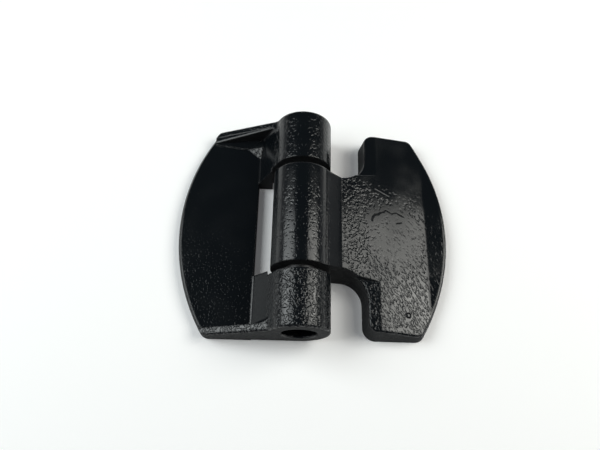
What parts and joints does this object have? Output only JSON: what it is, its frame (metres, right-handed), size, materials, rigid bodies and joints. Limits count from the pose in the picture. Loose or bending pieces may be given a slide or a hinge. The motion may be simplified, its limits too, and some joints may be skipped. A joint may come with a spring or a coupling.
{
  "type": "trailer door hinge",
  "caption": "Cast two-leaf trailer door hinge with a ribbed frame leaf, a wedge-shaped door leaf with notched tabs, and a hidden pin; black gloss paint, flat back faces.",
  "frame": {"origin": "foot of the hinge axis on the plane of the two back faces, half way along the pin", "axes": "+X from the frame leaf to the door leaf, +Y along the pin, +Z out of the front, away from the back faces"},
  "size_m": [0.0992, 0.0818, 0.021],
  "materials": {
    "black_paint": "black gloss paint with orange peel over a cast surface",
    "pin_steel": "plain turned steel, darkened"
  },
  "bodies": {
    "frame": {"frame_leaf": "black_paint", "hinge_pin": "pin_steel"},
    "door": {"door_leaf": "black_paint"}
  },
  "joints": [
    {"name": "door_swing", "type": "hinge", "parent": "frame", "child": "door", "pos_m": [0, 0, 0.0105], "axis": [0, -1, 0], "range_deg": [0, 180]}
  ]
}
